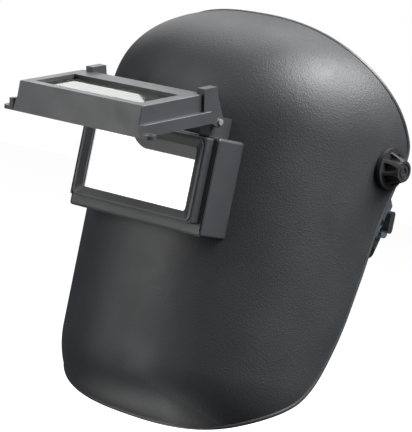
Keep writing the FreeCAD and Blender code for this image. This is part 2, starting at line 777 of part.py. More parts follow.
def make_side_arms():
    height = size("band_height")
    tilt = math.radians(size("band_tilt"))
    pivot_y = size("pivot_y") * math.cos(tilt) - size("pivot_z") * math.sin(tilt)
    pivot_z = size("pivot_y") * math.sin(tilt) + size("pivot_z") * math.cos(tilt)
    plate_x = size("arm_plate_x")
    thick = size("arm_thick")
    band_body = oval_ring(-6, 6 + size("band_thick") + 0.05, 60)
    for side, name in ((1, "left"), (-1, "right")):
        arm = arm_strip().extrude(V(0, 0, height - size("arm_step")))
        arm.translate(V(0, 0, -height / 2 + size("arm_step")))
        disc = Part.makeCylinder(size("arm_disc_radius"), thick, V(plate_x, pivot_y, pivot_z), X_AXIS)
        bridge = corner_box((plate_x, pivot_y - 18, -height / 2), (plate_x + thick, pivot_y + 18, pivot_z))
        arm = arm.fuse([disc, bridge]).cut(band_body)
        arm = arm.cut(Part.makeCylinder(size("bolt_radius"), 20, V(plate_x - 5, pivot_y, pivot_z), X_AXIS))
        for tool in side_rods(rivet_spots(), 2.0, 60, 40):
            arm = arm.cut(tool)
        if side < 0:
            arm = arm.mirror(ORIGIN, X_AXIS)
        finished(solid(f"side_arm_shape_{name}", arm), f"side_arm_{name}", band_place)


def make_arm_catches():
    """The upright catch on the outer side of each arm, at the bend."""
    half_height = 5.6
    end_radius = 2.8
    centre_y = 0.5
    centre_z = -4.5
    length = size("catch_reach") - 100
    start = V(100, centre_y - end_radius, centre_z - half_height)
    bar = Part.makeBox(length, 2 * end_radius, 2 * half_height, start)
    for level in (-1, 1):
        end = V(100, centre_y, centre_z + level * half_height)
        bar = bar.fuse(Part.makeCylinder(end_radius, length, end, X_AXIS))
    bar.Placement = FreeCAD.Placement(ORIGIN, FreeCAD.Rotation(X_AXIS, size("band_tilt")))
    inward = arm_line() + [(40.0, 46.0), (40.0, -58.0)]
    ring = [V(x, y, -30) for x, y in inward]
    inner_side = Part.Face(Part.makePolygon(ring + ring[:1])).extrude(V(0, 0, 60))
    catch = bar.cut(inner_side)
    pair = Part.makeCompound([catch, catch.mirror(ORIGIN, X_AXIS)])
    finished(solid("arm_catch_shapes", pair), "arm_catches", band_place)


def make_pivots():
    """Stop disc, friction washer, bolt, insert and knob on each side."""
    stop_x = size("arm_plate_x") + size("arm_thick")
    friction = []
    for side, name in ((1, "left"), (-1, "right")):
        def spot(start, length):
            return f"{start}" if side > 0 else f"-({start}) - ({length})"
        disc = rod(f"stop_round_{name}", spot(stop_x, 1.9), "pivot_y", "pivot_z", "14", "1.9")
        tab = box(f"stop_tab_{name}", spot(stop_x, 1.9), "pivot_y - 3", "pivot_z + 12", "1.9", "6", "7")
        bore = rod(f"stop_bore_{name}", spot(stop_x - 1, 8), "pivot_y", "pivot_z", "bolt_radius", "8")
        finished(cut(f"stop_{name}", fused(f"stop_union_{name}", [disc, tab]), [bore]), f"stop_disc_{name}")
        ring = rod(f"friction_ring_{name}", spot(stop_x + 1.9, 1.0), "pivot_y", "pivot_z", "11", "1.0")
        hole = rod(f"friction_bore_{name}", spot(stop_x + 1.4, 2.0), "pivot_y", "pivot_z",
                   "bolt_radius", "2.0")
        friction.append(cut(f"friction_{name}", ring, [hole]))
        head = rod(f"bolt_head_{name}", spot("arm_plate_x - 3.2", 3.2), "pivot_y", "pivot_z", "7", "3.2")
        shank = rod(f"bolt_shank_{name}", spot("arm_plate_x - 1", 21), "pivot_y", "pivot_z",
                    "bolt_radius", "21")
        finished(fused(f"bolt_{name}", [head, shank]), f"pivot_bolt_{name}")
        make_side_knob(side, name)
    finished(group("friction_group", friction), "friction_washers")


def make_side_knob(side, name):
    """A tapered, fluted knob with a flange and a brass insert, drawn along its own axis."""
    body = new_body(f"knob_{name}")
    flange = sketch_on(body, "XY_Plane", f"knob_flange_{name}")
    draw_circle(flange, "0", "0", "knob_flange_radius")
    padded(body, flange, "knob_flange_thick")
    doc.recompute()
    grip = body.newObject("PartDesign::AdditiveCone", f"knob_grip_{name}")
    bind(grip, Radius1="knob_root_radius", Radius2="knob_end_radius",
         Height="knob_length - knob_flange_thick + 0.01")
    grip.setExpression("AttachmentOffset.Base.z", formula("knob_flange_thick - 0.01"))
    planes = [item for item in body.Origin.OriginFeatures if item.Role == "XY_Plane"]
    grip.AttachmentSupport = [(planes[0], "")]
    grip.MapMode = "FlatFace"
    doc.recompute()
    flute = sketch_on(body, "XY_Plane", f"knob_flute_{name}", "knob_flange_thick")
    draw_circle(flute, "knob_root_radius - 1", "0", "3.5")
    pocket(body, flute, f"knob_flute_cut_{name}", "knob_length", reverse=True)
    around(body, f"knob_flute_cut_{name}", 8)
    rings = sketch_on(body, "XY_Plane", f"knob_rings_{name}", "knob_length")
    draw_circle(rings, "0", "0", "knob_end_radius - 2")
    draw_circle(rings, "0", "0", "knob_end_radius - 3.2")
    pocket(body, rings, f"knob_rings_cut_{name}", "0.7")
    dimple = sketch_on(body, "XY_Plane", f"knob_dimple_{name}", "knob_length")
    draw_circle(dimple, "0", "0", "2.6")
    pocket(body, dimple, f"knob_dimple_cut_{name}", "0.7")
    bore = sketch_on(body, "XY_Plane", f"knob_bore_{name}")
    draw_circle(bore, "0", "0", "bolt_radius + 1.6")
    pocket(body, bore, f"knob_bore_cut_{name}", "knob_length - 2.4", reverse=True)
    turn = FreeCAD.Rotation(Z_AXIS, X_AXIS if side > 0 else V(-1, 0, 0))
    body.Placement = FreeCAD.Placement(ORIGIN, turn)
    bind(body, Placement__Base__x=f"{side} * knob_face_x", Placement__Base__y="pivot_y",
         Placement__Base__z="pivot_z")
    finished(body, f"side_knob_{name}")
    start = "knob_face_x" if side > 0 else "-knob_face_x - 10"
    barrel = rod(f"insert_barrel_{name}", start, "pivot_y", "pivot_z", "bolt_radius + 1.6", "10")
    hole = rod(f"insert_hole_{name}", start, "pivot_y", "pivot_z", "bolt_radius + 0.05", "10")
    finished(cut(f"insert_{name}", barrel, [hole]), f"knob_insert_{name}")


def pocket(body, sketch, name, length, reverse=False):
    thing = body.newObject("PartDesign::Pocket", name)
    thing.Profile = sketch
    thing.Reversed = reverse
    sketch.Visibility = False
    bind(thing, Length=length)
    doc.recompute()
    return thing


def around(body, original, count):
    """Repeats a feature evenly around the body's Z axis."""
    pattern = body.newObject("PartDesign::PolarPattern", original + "_pattern")
    pattern.Originals = [doc.getObject(original)]
    axis = [item for item in body.Origin.OriginFeatures if item.Role == "Z_Axis"][0]
    pattern.Axis = (axis, [""])
    pattern.Angle = 360
    pattern.Occurrences = count
    body.Tip = pattern
    doc.recompute()
    return pattern


# ------------------------------------------------------------------ the ratchet

def arc_slab(inner, outer, low, high, first, last):
    """A curved slab about the rack centre; angles run from +Y towards +X, in degrees."""
    centre = V(0, size("rack_centre_y"), low)
    ring = Part.makeCylinder(outer, high - low, centre).cut(Part.makeCylinder(inner, high - low, centre))
    reach = 3 * outer
    points = [centre]
    for step in range(5):
        angle = math.radians(first + (last - first) * step / 4)
        points.append(centre + V(reach * math.sin(angle), reach * math.cos(angle), 0))
    wedge = Part.Face(Part.makePolygon(points + [centre])).extrude(V(0, 0, high - low))
    return ring.common(wedge)


def rack_tooth(inner, outer, pitch_height, angle, up):
    """One rack tooth on the edge of the slot, pointing at the pinion."""
    module = 2 * size("pinion_pitch") / size("pinion_teeth")
    root = pitch_height + 1.3 * module
    tip = pitch_height - 0.75 * module
    root_half = 1.05 * module
    tip_half = 0.36 * module
    corners = [(-root_half, root), (-tip_half, tip), (tip_half, tip), (root_half, root)]
    points = [V(x, 0, up * z) for x, z in corners]
    face = Part.Face(Part.makePolygon(points + points[:1]))
    tooth = face.extrude(V(0, outer + 3, 0))
    band = Part.makeCylinder(outer, 30, V(0, 0, -15)).cut(Part.makeCylinder(inner, 30, V(0, 0, -15)))
    tooth = tooth.common(band)
    tooth.rotate(ORIGIN, Z_AXIS, -angle)
    tooth.translate(V(0, size("rack_centre_y"), 0))
    return tooth


def make_racks():
    """The toothed ends of the band, each with a slot that the pinion turns in."""
    thick = size("rack_thick")
    half = size("band_height") / 2
    module = 2 * size("pinion_pitch") / size("pinion_teeth")
    root = size("pinion_pitch") + 1.25 * module
    clear = size("pinion_pitch") + 1.8 * module
    step = math.degrees(math.pi * module / size("rack_radius"))
    for side, name in ((1, "left"), (-1, "right")):
        inner = size("rack_radius") - thick - 0.1 if side > 0 else size("rack_radius") + 0.1
        outer = inner + thick
        ends = (-19.0, 49.0) if side > 0 else (-49.0, 19.0)
        strap = arc_slab(inner, outer, -half, half, *ends)
        low, high = (-clear, root) if side > 0 else (-root, clear)
        strap = strap.cut(arc_slab(inner - 1, outer + 1, low, high, -14.5, 14.5))
        # an odd wheel shows a tooth to the upper rack and a gap to the lower one
        shift = 0.5 if side > 0 else 0.0
        for index in range(-5, 5):
            angle = (index + shift) * step
            strap = strap.fuse(rack_tooth(inner, outer, size("pinion_pitch"), angle, side))
        finished(solid(f"rack_shape_{name}", strap), f"rack_{name}", band_place)


def make_pinion():
    """Toothed wheel and spindle, drawn along +Y in the band frame."""
    module = 2 * size("pinion_pitch") / size("pinion_teeth")
    teeth = int(size("pinion_teeth"))
    root = size("pinion_pitch") - 1.15 * module
    tip = size("pinion_pitch") + 0.85 * module
    rack_y = size("rack_centre_y") + size("rack_radius")
    start = rack_y - 1.7
    wheel = Part.makeCylinder(root, 3.4, V(0, start, 0), Y_AXIS)
    for index in range(teeth):
        flank = [(1.0 * module, root - 0.6), (0.7 * module, size("pinion_pitch")), (0.28 * module, tip)]
        corners = [(-x, z) for x, z in flank] + flank[::-1]
        points = [V(x, start, z) for x, z in corners]
        tooth = Part.Face(Part.makePolygon(points + points[:1])).extrude(V(0, 3.4, 0))
        tooth.rotate(V(0, 0, 0), Y_AXIS, 360.0 * index / teeth)
        wheel = wheel.fuse(tooth)
    spindle = Part.makeCylinder(3.0, 14.0, V(0, start + 3.4, 0), Y_AXIS)
    wheel = wheel.fuse(spindle)
    wheel = wheel.cut(Part.makeCylinder(1.3, 12.0, V(0, start + 6.0, 0), Y_AXIS))
    finished(solid("pinion_shape", wheel), "ratchet_pinion", band_place)


def make_ratchet_case():
    """Case, cover, pad and screws around the racks at the back of the head."""
    radius = size("rack_radius")
    half = size("case_half_height")
    back_y = size("rack_centre_y") + radius
    slot = size("band_height") / 2 + 0.4
    case = arc_slab(radius - 2.3, radius + 5.2, -half, half, -36, 36)
    case = case.cut(arc_slab(radius - 3, radius + 2.1, -slot, slot, -40, 40))
    case = case.cut(Part.makeCylinder(3.06, 20, V(0, back_y, 0), Y_AXIS))
    boss = Part.makeCylinder(11.0, 3.0, V(0, back_y + 4.0, 0), Y_AXIS)
    case = case.fuse(boss.cut(Part.makeCylinder(3.06, 10, V(0, back_y, 0), Y_AXIS)))
    cover = arc_slab(radius - 4.3, radius - 2.35, -half, half, -36, 36)
    spots = [(angle, level) for angle in (-31, 31) for level in (-12.3, 12.3)]
    screws = []
    for angle, level in spots:
        way = V(math.sin(math.radians(angle)), math.cos(math.radians(angle)), 0)
        base = V(0, size("rack_centre_y"), level) + way * (radius - 4.3)
        shank = Part.makeCylinder(1.0, 7.0, base, way)
        head = Part.makeCylinder(1.9, 1.0, base, way)
        case = case.cut(shank)
        cover = cover.cut(shank).cut(head)
        screws.append(shank.fuse(head))
    pad = arc_slab(radius - 8.8, radius - 4.4, -half + 1, half - 1, -34, 34)
    finished(solid("case_shape", case), "ratchet_case", band_place)
    finished(solid("cover_shape", cover), "ratchet_cover", band_place)
    finished(solid("nape_pad_shape", pad), "nape_pad", band_place)
    finished(solid("case_screws_shape", Part.makeCompound(screws)), "case_screws", band_place)


def make_ratchet_knob():
    """The round knob behind the head, its detent washer and its screw."""
    back_y = size("rack_centre_y") + size("rack_radius")
    face_y = back_y + 8.0
    body = new_body("rear_knob")
    rim = sketch_on(body, "XZ_Plane", "rear_knob_rim", f"-({face_y}) - ratchet_knob_length")
    draw_circle(rim, "0", "0", "ratchet_knob_radius")
    padded(body, rim, "ratchet_knob_length")
    doc.recompute()
    hollow = sketch_on(body, "XZ_Plane", "rear_knob_hollow", f"-({face_y})")
    draw_circle(hollow, "0", "0", "ratchet_knob_radius - 3")
    pocket(body, hollow, "rear_knob_hollow_cut", "1.6", reverse=False)
    bore = sketch_on(body, "XZ_Plane", "rear_knob_bore", f"-({face_y})")
    draw_circle(bore, "0", "0", "3")
    pocket(body, bore, "rear_knob_bore_cut", "7.8", reverse=False)
    screw_bore = sketch_on(body, "XZ_Plane", "rear_knob_screw_bore", f"-({face_y})")
    draw_circle(screw_bore, "0", "0", "1.6")
    pocket(body, screw_bore, "rear_knob_screw_cut", "40", reverse=False)
    seat = sketch_on(body, "XZ_Plane", "rear_knob_seat", f"-({face_y}) - ratchet_knob_length")
    draw_circle(seat, "0", "0", "3.4")
    pocket(body, seat, "rear_knob_seat_cut", "2.6", reverse=True)
    finished(body, "ratchet_knob", band_place)
    washer = Part.makeCylinder(10.0, 0.5, V(0, back_y + 7.2, 0), Y_AXIS)
    washer = washer.cut(Part.makeCylinder(3.1, 2, V(0, back_y + 6.5, 0), Y_AXIS))
    finished(solid("detent_shape", washer), "detent_spring", band_place)
    screw = Part.makeCylinder(3.2, 2.0, V(0, face_y + size("ratchet_knob_length") - 2.5, 0), Y_AXIS)
    screw = screw.fuse(Part.makeCylinder(1.3, 13.0, V(0, face_y - 2.4, 0), Y_AXIS))
    finished(solid("knob_screw_shape", screw), "knob_screw", band_place)


def make_rivets():
    """Rivets that join the side arms to the band."""
    rivets = []
    for side in (-1, 1):
        for y, z in rivet_spots() + [crown_spot()]:
            x = size("band_half_width") * math.sqrt(1 - (y / size("band_half_length")) ** 2)
            low = x - 2.2
            grip = 9.8
            if (y, z) == crown_spot():
                low = x - 0.7
                grip = 6.6 if side > 0 else 6.6 + size("crown_overlap")
            shank = Part.makeCylinder(2.0, grip, V(low, y, z), X_AXIS)
            head = Part.makeCylinder(4.0, 1.6, V(low - 1.6, y, z), X_AXIS)
            tail = Part.makeCylinder(4.0, 1.6, V(low + grip, y, z), X_AXIS)
            rivet = shank.fuse([head, tail])
            rivets.append(rivet if side > 0 else rivet.mirror(ORIGIN, X_AXIS))
    finished(solid("rivet_shapes", Part.makeCompound(rivets)), "rivets", band_place)


make_shell()
make_window_housing()
make_window_frame()
make_lens_stack()
make_lock_frame()
make_hinge_hardware()
make_lid()
make_lid_stack()
make_headband()
make_sweatband()
make_crown_straps()
make_side_arms()
make_arm_catches()
make_pivots()
make_racks()
make_pinion()
make_ratchet_case()
make_ratchet_knob()
make_rivets()
doc.recompute()

for thing in doc.Objects:
    faults = [state for state in thing.State if state in ("Invalid", "Error")]
    if faults:
        raise RuntimeError(f"{thing.Label} failed: {faults}")
for thing in sub_parts:
    if thing.Shape.isNull() or not thing.Shape.isValid() or not thing.Shape.Solids:
        raise RuntimeError(f"{thing.Label} has no valid solid")

os.makedirs("parts", exist_ok=True)
for thing in sub_parts:
    thing.Shape.exportStep(f"parts/{thing.Label}.step")
    print(thing.Label, len(thing.Shape.Solids), round(thing.Shape.Volume))
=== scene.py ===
"""Flip-front welding helmet: materials, soft pads, rolled rim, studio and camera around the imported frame."""
import json
import math

import bmesh
import bpy
from mathutils import Matrix, Vector


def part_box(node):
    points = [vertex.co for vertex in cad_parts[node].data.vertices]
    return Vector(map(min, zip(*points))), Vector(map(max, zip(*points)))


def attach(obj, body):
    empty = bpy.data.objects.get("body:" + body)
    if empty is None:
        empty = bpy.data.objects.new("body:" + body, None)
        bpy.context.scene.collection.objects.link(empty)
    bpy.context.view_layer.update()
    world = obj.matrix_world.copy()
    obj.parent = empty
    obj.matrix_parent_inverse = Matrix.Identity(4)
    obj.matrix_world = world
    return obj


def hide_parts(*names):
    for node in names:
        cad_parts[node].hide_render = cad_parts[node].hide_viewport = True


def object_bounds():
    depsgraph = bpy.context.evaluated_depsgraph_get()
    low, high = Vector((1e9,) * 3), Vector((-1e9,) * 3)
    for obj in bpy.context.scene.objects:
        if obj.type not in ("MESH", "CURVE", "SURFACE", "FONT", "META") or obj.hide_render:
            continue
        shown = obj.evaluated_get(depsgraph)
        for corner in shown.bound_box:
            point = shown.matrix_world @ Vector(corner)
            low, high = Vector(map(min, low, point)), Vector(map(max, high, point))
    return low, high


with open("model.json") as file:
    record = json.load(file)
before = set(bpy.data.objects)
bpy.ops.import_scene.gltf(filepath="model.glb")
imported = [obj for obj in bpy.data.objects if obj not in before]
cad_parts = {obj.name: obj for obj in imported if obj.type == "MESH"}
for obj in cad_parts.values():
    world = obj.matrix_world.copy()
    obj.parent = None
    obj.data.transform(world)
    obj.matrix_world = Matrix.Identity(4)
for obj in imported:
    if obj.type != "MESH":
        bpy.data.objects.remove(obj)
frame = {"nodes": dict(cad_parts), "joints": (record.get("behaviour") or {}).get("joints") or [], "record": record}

cad_low, cad_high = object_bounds()
nodes = frame["nodes"]
visor_pivot = next(joint["pos_m"] for joint in frame["joints"] if joint["name"] == "visor_raise")
MM = 0.001
PLASTIC_IOR = 1.5


# ------------------------------------------------------------------ materials

def new_material(name):
    """An empty node tree with a Principled shader joined to its output."""
    material = bpy.data.materials.new(name)
    material.use_nodes = True
    tree = material.node_tree
    tree.nodes.clear()
    shader = tree.nodes.new("ShaderNodeBsdfPrincipled")
    output = tree.nodes.new("ShaderNodeOutputMaterial")
    tree.links.new(shader.outputs["BSDF"], output.inputs["Surface"])
    return material, tree, shader


def noise(tree, scale, detail=3.0, roughness=0.55):
    """Noise in metres, from the object's own coordinates."""
    place = tree.nodes.new("ShaderNodeTexCoord")
    texture = tree.nodes.new("ShaderNodeTexNoise")
    texture.inputs["Scale"].default_value = scale
    texture.inputs["Detail"].default_value = detail
    texture.inputs["Roughness"].default_value = roughness
    tree.links.new(place.outputs["Object"], texture.inputs["Vector"])
    return texture.outputs["Fac"]


def ramp(tree, source, low, high, start=0.35, end=0.65):
    """Maps a value between two numbers or two colours."""
    if isinstance(low, tuple):
        node = tree.nodes.new("ShaderNodeValToRGB")
        node.color_ramp.elements[0].position = start
        node.color_ramp.elements[1].position = end
        node.color_ramp.elements[0].color = (*low, 1.0)
        node.color_ramp.elements[1].color = (*high, 1.0)
        tree.links.new(source, node.inputs["Fac"])
        return node.outputs["Color"]
    node = tree.nodes.new("ShaderNodeMapRange")
    node.inputs["From Min"].default_value = start
    node.inputs["From Max"].default_value = end
    node.inputs["To Min"].default_value = low
    node.inputs["To Max"].default_value = high
    tree.links.new(source, node.inputs["Value"])
    return node.outputs["Result"]


def bump(tree, shader, height, distance, strength=1.0, below=None):
    """Bumps a shader's surface by a height; below is the normal of a bump already there."""
    node = tree.nodes.new("ShaderNodeBump")
    node.inputs["Distance"].default_value = distance
    node.inputs["Strength"].default_value = strength
    tree.links.new(height, node.inputs["Height"])
    if below is not None:
        tree.links.new(below, node.inputs["Normal"])
    tree.links.new(node.outputs["Normal"], shader.inputs["Normal"])
    return node.outputs["Normal"]


def plastic(name, dark, light, rough_low, rough_high, grain, depth):
    """Moulded plastic: slow mottling in colour and gloss, and a fine skin texture."""
    material, tree, shader = new_material(name)
    mottle = 18.0
    slow = noise(tree, mottle, 4.0)
    tree.links.new(ramp(tree, slow, dark, light), shader.inputs["Base Color"])
    gloss = ramp(tree, noise(tree, mottle * 3, 3.0), rough_low, rough_high)
    tree.links.new(gloss, shader.inputs["Roughness"])
    bump(tree, shader, noise(tree, grain, 2.0), depth)
    shader.inputs["IOR"].default_value = PLASTIC_IOR
    return material


def pebbled(name, dark, light, rough_low, rough_high):
    """Injection moulded shell skin: small rounded pebbles over a slow mottle."""
    material, tree, shader = new_material(name)
    slow = noise(tree, 14.0, 4.0)
    tree.links.new(ramp(tree, slow, dark, light), shader.inputs["Base Color"])
    place = tree.nodes.new("ShaderNodeTexCoord")
    cells = tree.nodes.new("ShaderNodeTexVoronoi")
    cells.feature = "SMOOTH_F1"
    cells.inputs["Scale"].default_value = 780.0
    cells.inputs["Smoothness"].default_value = 0.6
    tree.links.new(place.outputs["Object"], cells.inputs["Vector"])
    peb = ramp(tree, cells.outputs["Distance"], 1.0, 0.0, 0.05, 0.55)
    normal = bump(tree, shader, peb, 0.00018, 0.5)
    coarse = noise(tree, 260.0, 3.0)
    bump(tree, shader, coarse, 0.00012, 0.5, below=normal)
    tree.links.new(ramp(tree, noise(tree, 30.0, 3.0), rough_low, rough_high), shader.inputs["Roughness"])
    shader.inputs["IOR"].default_value = PLASTIC_IOR
    return material


def metal(name, dark, light, rough_low, rough_high):
    """Bright metal with slight mottling and a fine grain."""
    material, tree, shader = new_material(name)
    tree.links.new(ramp(tree, noise(tree, 90.0, 4.0), dark, light), shader.inputs["Base Color"])
    tree.links.new(ramp(tree, noise(tree, 400.0, 3.0), rough_low, rough_high), shader.inputs["Roughness"])
    bump(tree, shader, noise(tree, 1500.0, 2.0), 0.00002)
    shader.inputs["Metallic"].default_value = 1.0
    return material


def glass(name, tint, rough_low, rough_high):
    """A clear or dark lens, with the faint haze of handling."""
    material, tree, shader = new_material(name)
    shader.inputs["Base Color"].default_value = (*tint, 1.0)
    shader.inputs["Transmission Weight"].default_value = 1.0
    shader.inputs["IOR"].default_value = PLASTIC_IOR
    tree.links.new(ramp(tree, noise(tree, 60.0, 4.0), rough_low, rough_high), shader.inputs["Roughness"])
    return material


def calculate(tree, operation, first, second):
    """One maths node; each term is a socket or a number."""
    node = tree.nodes.new("ShaderNodeMath")
    node.operation = operation
    for socket, term in zip(node.inputs, (first, second)):
        if isinstance(term, (int, float)):
            socket.default_value = term
        else:
            tree.links.new(term, socket)
    return node.outputs[0]


def painted_shade_band(tree):
    """1 on the painted shade band over the film's top edge, whose lower edge bends up in a round corner, and 0 on
    the film.
    """
    # Height where the painted shade band begins.
    shade_band_low = 14.0 * MM
    corner_x = 2.0 * MM
    bend = 33.0
    half_edge = 0.3 * MM
    place = tree.nodes.new("ShaderNodeTexCoord")
    parts = tree.nodes.new("ShaderNodeSeparateXYZ")
    tree.links.new(place.outputs["Object"], parts.inputs[0])
    past = calculate(tree, "MAXIMUM", calculate(tree, "SUBTRACT", corner_x, parts.outputs["X"]), 0.0)
    rise = calculate(tree, "MULTIPLY", calculate(tree, "MULTIPLY", past, past), bend)
    over = calculate(tree, "SUBTRACT", calculate(tree, "SUBTRACT", parts.outputs["Z"], shade_band_low), rise)
    return ramp(tree, over, 0.0, 1.0, -half_edge, half_edge)


def filmed_glass(name, tint):
    """A new clear lens under its milky protective film; its white emission is a painted glow, and the blue-black
    band along the top, where the film stops short, is painted shade.
    """
    material, tree, shader = new_material(name)
    # Mask of the painted shade band along the lens top.
    shade_band_mask = painted_shade_band(tree)
    # Painted shade: the blue-black colour of the band along the lens top.
    dark = (0.010, 0.013, 0.018)
    # Painted glow: white emission over the film, none on the painted shade band.
    painted_glow = ramp(tree, shade_band_mask, (1.0, 1.0, 1.0), (0.0, 0.0, 0.0), 0.0, 1.0)
    tree.links.new(ramp(tree, shade_band_mask, tint, dark, 0.0, 1.0), shader.inputs["Base Color"])
    tree.links.new(painted_glow, shader.inputs["Emission Color"])
    shader.inputs["Transmission Weight"].default_value = 0.3
    shader.inputs["Specular IOR Level"].default_value = 0.06
    # Strength of the painted white glow.
    shader.inputs["Emission Strength"].default_value = 0.62
    tree.links.new(ramp(tree, noise(tree, 60.0, 4.0), 0.08, 0.14), shader.inputs["Roughness"])
    return material


def cloth(name, dark, light):
    """Woven cover over foam: crossed threads with sheen."""
    material, tree, shader = new_material(name)
    place = tree.nodes.new("ShaderNodeTexCoord")
    heights = []
    for direction in ("X", "Z"):
        wave = tree.nodes.new("ShaderNodeTexWave")
        wave.wave_type = "BANDS"
        wave.bands_direction = direction
        wave.inputs["Scale"].default_value = 420.0
        wave.inputs["Distortion"].default_value = 0.6
        wave.inputs["Detail"].default_value = 1.0
        tree.links.new(place.outputs["Object"], wave.inputs["Vector"])
        heights.append(wave.outputs["Fac"])
    weave = tree.nodes.new("ShaderNodeMath")
    weave.operation = "MULTIPLY"
    tree.links.new(heights[0], weave.inputs[0])
    tree.links.new(heights[1], weave.inputs[1])
    mottle = tree.nodes.new("ShaderNodeMath")
    mottle.operation = "MULTIPLY_ADD"
    mottle.inputs[1].default_value = 0.6
    tree.links.new(weave.outputs[0], mottle.inputs[0])
    tree.links.new(ramp(tree, noise(tree, 120.0, 4.0), 0.0, 0.4), mottle.inputs[2])
    tree.links.new(ramp(tree, mottle.outputs[0], dark, light, 0.1, 0.9), shader.inputs["Base Color"])
    bump(tree, shader, mottle.outputs[0], 0.0003, 0.8)
    shader.inputs["Roughness"].default_value = 0.92
    shader.inputs["Sheen Weight"].default_value = 0.35
    shader.inputs["Sheen Roughness"].default_value = 0.5
    return material


MATERIALS = {
    "pebbled_plastic": pebbled("pebbled_plastic", (0.027, 0.029, 0.032), (0.034, 0.036, 0.039), 0.47, 0.54),
    "clear_glass": glass("clear_glass", (0.93, 0.95, 0.94), 0.015, 0.03),
    # The filmed lens carries a painted white glow and a painted shade band along its top.
    "filmed_glass": filmed_glass("filmed_glass", (0.97, 0.975, 0.98)),
    "shade_glass": glass("shade_glass", (0.012, 0.02, 0.006), 0.02, 0.05),
    "spring_steel": metal("spring_steel", (0.50, 0.51, 0.52), (0.62, 0.63, 0.64), 0.22, 0.34),
    "zinc_steel": metal("zinc_steel", (0.74, 0.75, 0.77), (0.86, 0.87, 0.88), 0.44, 0.54),
    "brass_insert": metal("brass_insert", (0.62, 0.44, 0.18), (0.74, 0.54, 0.26), 0.24, 0.36),
    "soft_pad": cloth("soft_pad", (0.018, 0.019, 0.022), (0.050, 0.052, 0.058)),
}
# Each smooth moulding: dark and light colour, least and most roughness, grain scale, grain depth in metres.
MOULDINGS = {
    "moulded_plastic": ((0.034, 0.036, 0.040), (0.042, 0.044, 0.048), 0.40, 0.48, 700.0, 0.00006),
    "knob_plastic": ((0.026, 0.026, 0.028), (0.032, 0.032, 0.034), 0.26, 0.34, 900.0, 0.00005),
    "strap_plastic": ((0.020, 0.020, 0.022), (0.026, 0.026, 0.028), 0.42, 0.52, 900.0, 0.00006),
    "arm_plastic": ((0.055, 0.080, 0.105), (0.066, 0.096, 0.125), 0.36, 0.46, 900.0, 0.00005),
    "rubber_seal": ((0.012, 0.012, 0.012), (0.018, 0.018, 0.018), 0.70, 0.85, 500.0, 0.0001),
    "fibre_washer": ((0.18, 0.045, 0.03), (0.25, 0.07, 0.045), 0.6, 0.75, 900.0, 0.0001),
    "lid_plastic": ((0.044, 0.046, 0.050), (0.054, 0.056, 0.061), 0.36, 0.44, 700.0, 0.00006),
}
for slot_name, look in MOULDINGS.items():
    MATERIALS[slot_name] = plastic(slot_name, *look)
slot_of = {part["node"]: part["material_slot"] for part in frame["record"]["subparts"]}


def dress(piece, slot):
    """Gives a piece one procedural material in every slot of its mesh."""
    piece.data.materials.clear()
    piece.data.materials.append(MATERIALS[slot])


def smooth(mesh, angle):
    """Smooth shading that stays sharp across folds tighter than the angle."""
    mesh.shade_smooth()
    mesh.set_sharp_from_angle(angle=math.radians(angle))


for node_name, node in nodes.items():
    dress(node, slot_of[node_name])


# ------------------------------------------------------------------ mesh helpers

def new_piece(name, mesh, body, slot, *replaced):
    """Links a mesh as a piece that rides on a body, and hides the CAD nodes it stands for."""
    piece = bpy.data.objects.new(name, mesh)
    bpy.context.scene.collection.objects.link(piece)
    dress(piece, slot)
    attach(piece, body)
    if replaced:
        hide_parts(*replaced)
    return piece


def grid_mesh(name, rows, closed=False):
    """A mesh over rows of points; closed joins each row's end to its start and caps the first and last row."""
    builder = bmesh.new()
    made = [[builder.verts.new(point) for point in row] for row in rows]
    across = len(rows[0])
    for low_row, high_row in zip(made, made[1:]):
        for index in range(across if closed else across - 1):
            after = (index + 1) % across
            builder.faces.new((low_row[index], low_row[after], high_row[after], high_row[index]))
    if closed:
        builder.faces.new(made[0][::-1])
        builder.faces.new(made[-1])
    bmesh.ops.remove_doubles(builder, verts=builder.verts, dist=0.00005)
    bmesh.ops.recalc_face_normals(builder, faces=builder.faces)
    mesh = bpy.data.meshes.new(name)
    builder.to_mesh(mesh)
    builder.free()
    return mesh


def baked(piece):
    """Applies a piece's modifiers to its mesh."""
    graph = bpy.context.evaluated_depsgraph_get()
    mesh = bpy.data.meshes.new_from_object(piece.evaluated_get(graph))
    old = piece.data
    piece.modifiers.clear()
    piece.data = mesh
    bpy.data.meshes.remove(old)
    return mesh


# ------------------------------------------------------------------ shell and rim

SHELL_CENTRE_Y = -6.4 * MM
SHELL_POWER = 2.45
SHELL_WALL = 2.6 * MM
DOME_BASE = 46.4 * MM
DOME_RISE = 86.4 * MM
SKIRT_LOW = -187.5 * MM
CHIN_ROUND = 56.7 * MM
CHIN_RECESS = 51.9 * MM
CHIN_NARROWING = 0.35
RIM_LINE = [(-184, -124), (-177.5, -117), (-165, -101), (-141, -68), (-100, -48), (-50, -36), (-12, -29),
            (17, -20), (38, -12.5), (47, -10.6), (56, -12.5), (79, -27), (115, -58), (140, -76)]
shell_low, shell_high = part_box("shell")
RIM_MIDDLE = (0.0, -70.0 * MM, -20.0 * MM)
SHELL_HALF_WIDTH = shell_high[0]
SHELL_DEPTH = SHELL_CENTRE_Y - shell_low[1]


def rim_y(height):
    """The rim's place along Y at a height: a smooth curve through the rim line, in metres."""
    points = [(z * MM, y * MM) for z, y in RIM_LINE]
    span = next((i for i in range(len(points) - 1) if height <= points[i + 1][0]), len(points) - 2)

    def slope(index):
        before = points[max(index - 1, 0)]
        after = points[min(index + 1, len(points) - 1)]
        return (after[1] - before[1]) / (after[0] - before[0])

    (z0, y0), (z1, y1) = points[span], points[span + 1]
    width = z1 - z0
    t = (height - z0) / width
    return ((2 * t ** 3 - 3 * t ** 2 + 1) * y0 + (t ** 3 - 2 * t ** 2 + t) * width * slope(span)
            + (3 * t ** 2 - 2 * t ** 3) * y1 + (t ** 3 - t ** 2) * width * slope(span + 1))


